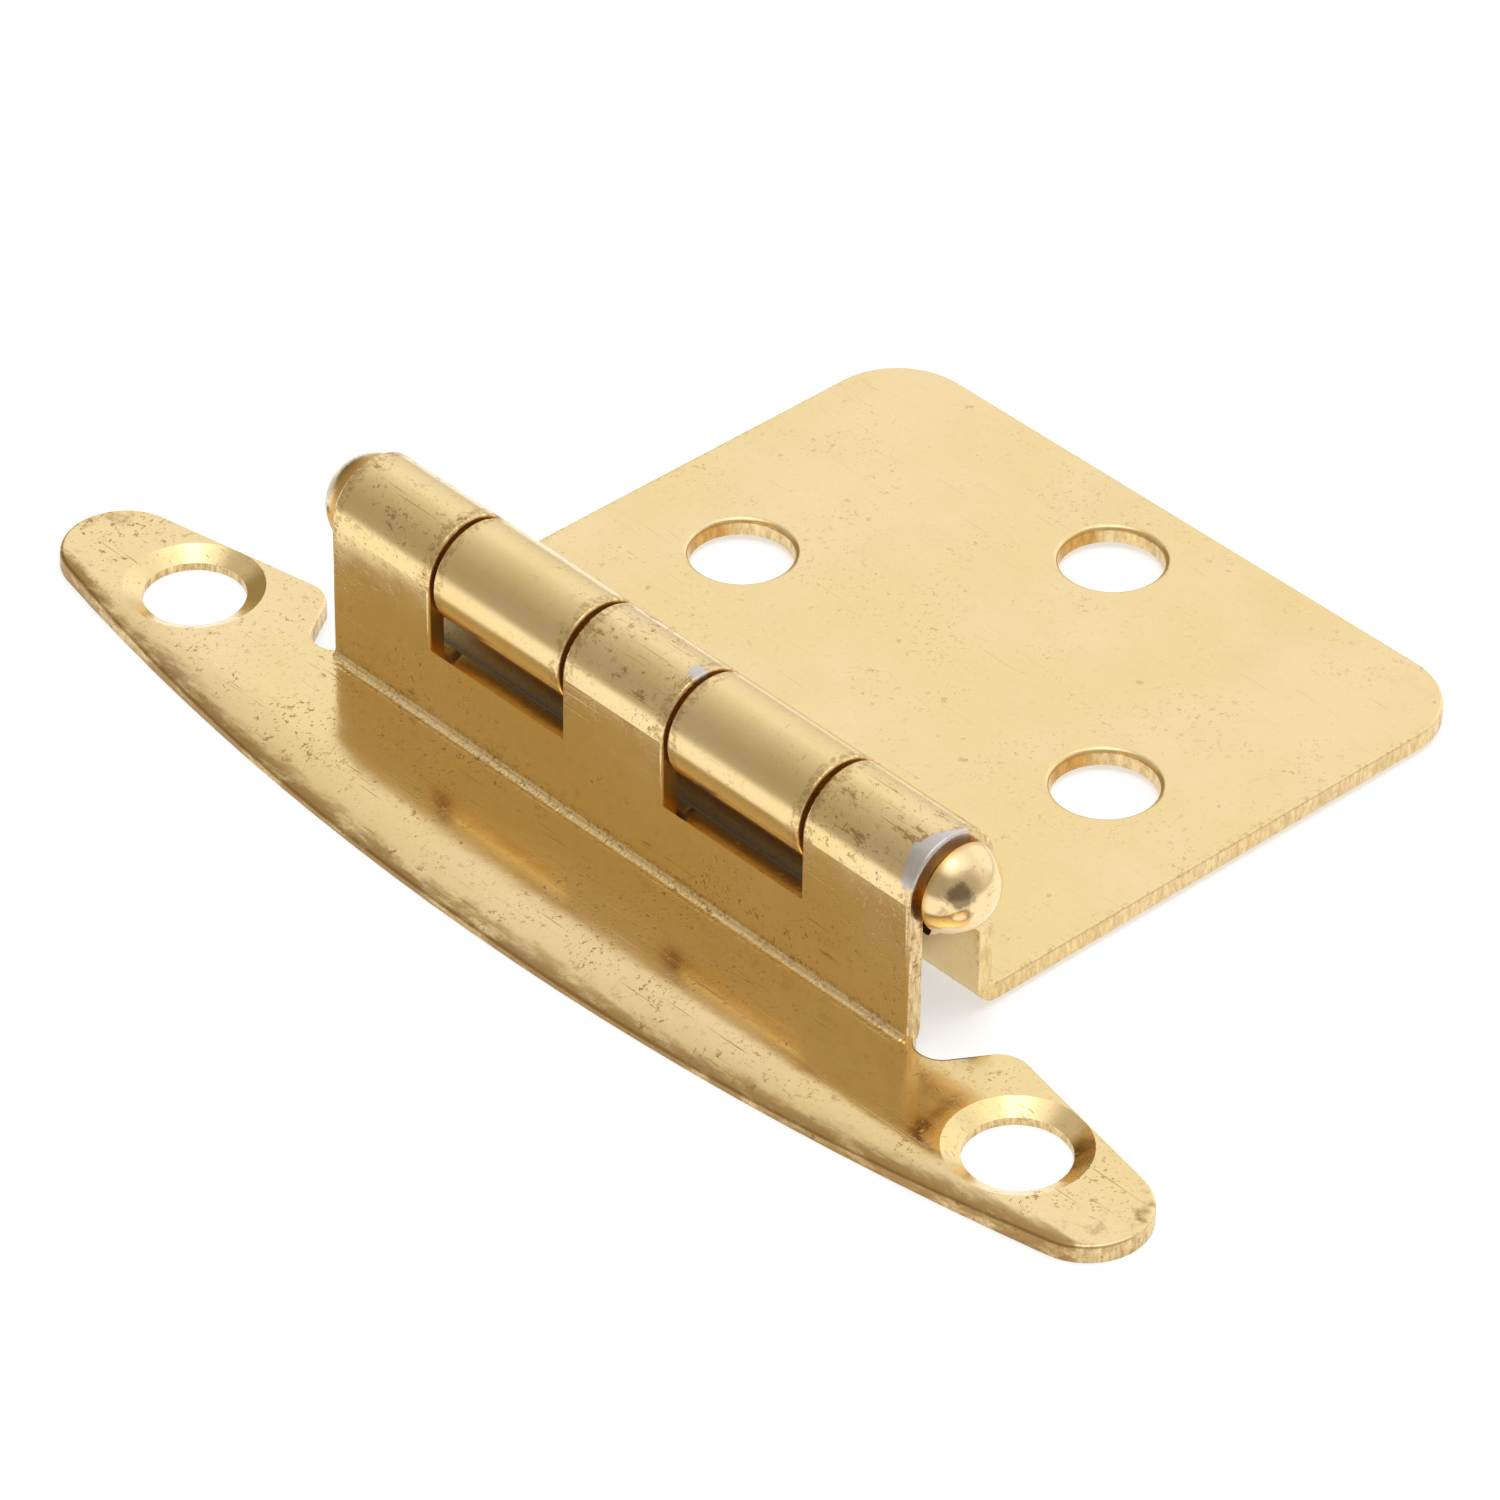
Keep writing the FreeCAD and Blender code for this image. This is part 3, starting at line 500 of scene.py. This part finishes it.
def make_floor():
    """White table with painted light: it glows near the hinge to fill in shadows, not under the channel,
    and greys further out.
    """
    mesh = bpy.data.meshes.new("floor")
    half, level = 3.0, -0.00002
    corners = [(-half, -half, level), (half, -half, level), (half, half, level), (-half, half, level)]
    mesh.from_pydata(corners, [], [(0, 1, 2, 3)])
    floor = bpy.data.objects.new("floor", mesh)
    scene.collection.objects.link(floor)
    material = bpy.data.materials.new("white_table")
    material.use_nodes = True
    shader = material.node_tree.nodes["Principled BSDF"]
    nodes = Nodes(material.node_tree)
    place = nodes.add("ShaderNodeTexCoord").outputs["Object"]
    # painted pool of light: white round the hinge, pale grey from 60 to 160 mm out
    away = nodes.vector("DISTANCE", place, (0.0, 0.010, 0.0))
    far = nodes.ramp(away, 0.060, 0.16)
    nodes.feed(shader.inputs["Base Color"], nodes.mix(far, WHITE, PALE_GREY))
    spot = nodes.vector("SCALE", place, scale=1 / MM)
    spots = nodes.add("ShaderNodeSeparateXYZ", {"Vector": spot}).outputs
    # the floor under the hinge's channel, where the glow is switched off
    channel = nodes.product(
        nodes.ramp(spots[0], BARREL_END - 4.0, BARREL_END - 7.0),
        nodes.ramp(spots[0], -BARREL_END - 1.0, -BARREL_END + 0.5),
        nodes.band(spots[1], PIN_LINE - 0.5, 4.5, 1.5),
    )
    channel = nodes.product(channel, 0.96)
    # painted light: the floor glows to fill in its shadows, but not far out or under the channel
    shadow_fill_glow = nodes.math("SUBTRACT", nodes.math("SUBTRACT", 1.0, far), channel, clamp=True)
    shader.inputs["Emission Color"].default_value = (1, 1, 1, 1)
    nodes.feed(shader.inputs["Emission Strength"], nodes.product(shadow_fill_glow, 0.55))
    shader.inputs["Roughness"].default_value = 0.9
    mesh.materials.append(material)


# brightness of the tent by the angle over the hinge, from behind it (0) over the top (0.5) to the front (1)
TENT = [
    (0.0, 0.82), (0.12, 0.96), (0.22, 1.04), (0.30, 1.04), (0.38, 0.91), (0.46, 0.77), (0.56, 0.65),
    (0.66, 0.56), (0.76, 0.49), (0.86, 0.47), (0.94, 0.49), (1.0, 0.52),
]

# panels that differ from the tent: bright overhead and low behind, dim at the right, dark at the left.
# Each has its aim, the angle out to which it is full, the angle where it ends, and its colour.
SOFTBOXES = [
    ((0.15, -0.05, 0.98), 18, 42, (1.35, 1.35, 1.35, 1)),
    ((0.05, 0.95, 0.30), 16, 34, (1.2, 1.2, 1.2, 1)),
    ((0.12, -0.10, 0.98), 5, 15, (2.4, 2.4, 2.4, 1)),
    ((0.95, -0.10, 0.25), 22, 55, (0.58, 0.53, 0.46, 1)),
    ((-0.97, 0.10, 0.22), 16, 34, (0.34, 0.28, 0.14, 1)),
]


def make_light():
    """White tent: bright behind and overhead, darker towards the front left where the room shows."""
    world = bpy.data.worlds.new("tent")
    scene.world = world
    world.use_nodes = True
    nodes = Nodes(world.node_tree)
    direction = nodes.add("ShaderNodeTexCoord").outputs["Generated"]
    axes = nodes.add("ShaderNodeSeparateXYZ", {"Vector": direction}).outputs
    across = nodes.math("ARCTAN2", axes[2], axes[1])
    colour = nodes.curve(nodes.math("DIVIDE", across, math.pi), TENT)
    for aim, inner, outer, shade in SOFTBOXES:
        near = nodes.vector("DISTANCE", nodes.vector("NORMALIZE", direction), Vector(aim).normalized())
        reach = [2 * math.sin(math.radians(angle) / 2) for angle in (outer, inner)]
        colour = nodes.mix(nodes.ramp(near, *reach), colour, shade)
    background = world.node_tree.nodes["Background"]
    nodes.feed(background.inputs["Color"], colour)

    lamp = bpy.data.lights.new("overhead", "AREA")
    lamp.size = 0.8
    lamp.energy = 3.0
    overhead = bpy.data.objects.new("overhead", lamp)
    scene.collection.objects.link(overhead)
    overhead.location = (-0.05, 0.05, 0.7)
    overhead.visible_glossy = False


make_camera()
dress_parts()
make_floor()
make_light()
